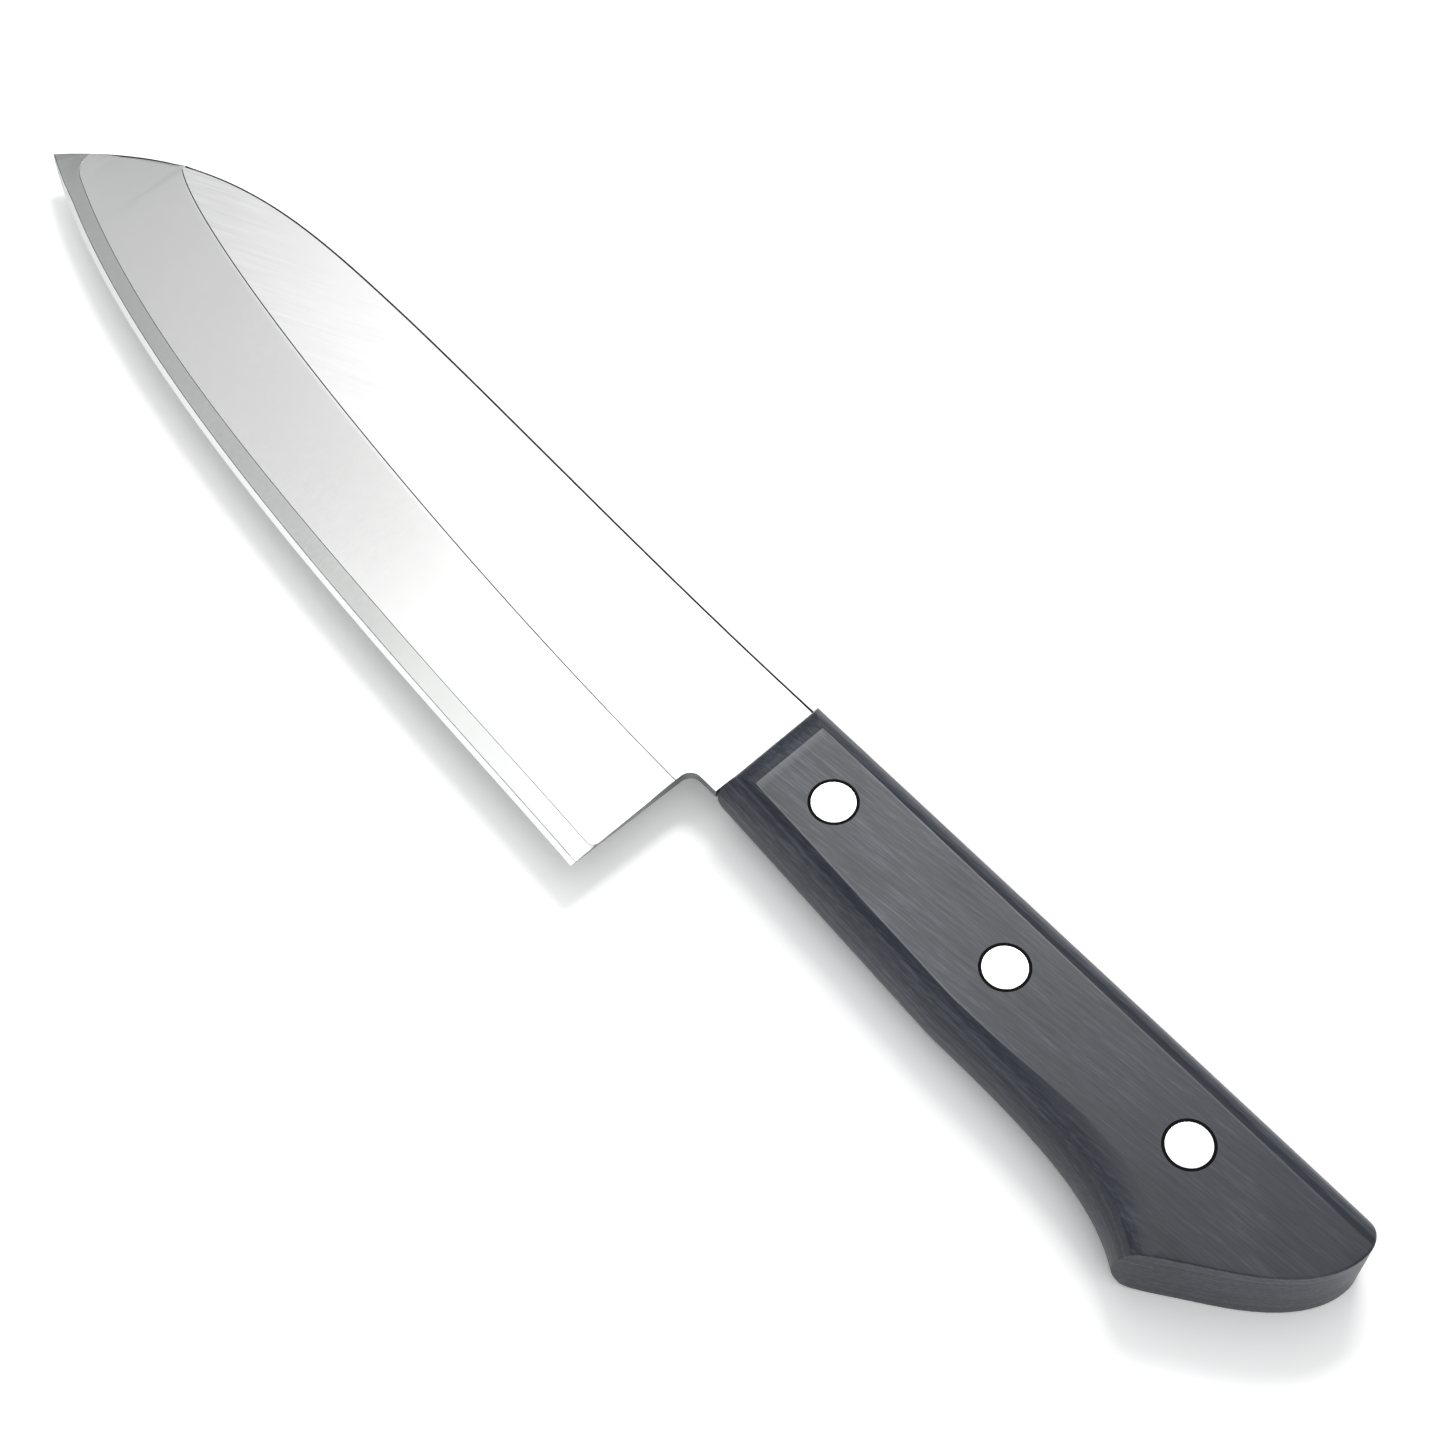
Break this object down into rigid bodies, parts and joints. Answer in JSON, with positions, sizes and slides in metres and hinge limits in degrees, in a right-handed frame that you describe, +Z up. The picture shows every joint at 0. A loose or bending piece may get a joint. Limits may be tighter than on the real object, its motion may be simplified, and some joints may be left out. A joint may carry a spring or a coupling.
{
  "type": "chef knife",
  "caption": "Broad kitchen knife with a dropped point, a three-layer ground blade with a notched heel, and a dark one-piece riveted handle with a hooked butt.",
  "frame": {"origin": "middle of the footprint of the knife lying on its right cheek, on the surface that it lies on", "axes": "+X along the handle towards the butt, so the tip points to -X; +Y from the edge to the back; +Z up, out of the left cheek"},
  "size_m": [0.3064, 0.0496, 0.0154],
  "materials": {
    "cover_steel": "fine satin, ground across the blade, bright on the bevel",
    "core_steel": "greyer matt band along the edge, with a bright honed bevel",
    "handle_wood": "resin-filled laminated wood, dark slate grey, satin, fine streaks along the grain",
    "rivet_steel": "bright, sanded flush with the handle"
  },
  "bodies": {
    "root": {"blade_core": "core_steel", "cladding_left": "cover_steel", "cladding_right": "cover_steel", "handle": "handle_wood", "front_rivet_socket": "rivet_steel", "front_rivet_stem": "rivet_steel", "middle_rivet_socket": "rivet_steel", "middle_rivet_stem": "rivet_steel", "rear_rivet_socket": "rivet_steel", "rear_rivet_stem": "rivet_steel"}
  },
  "joints": []
}
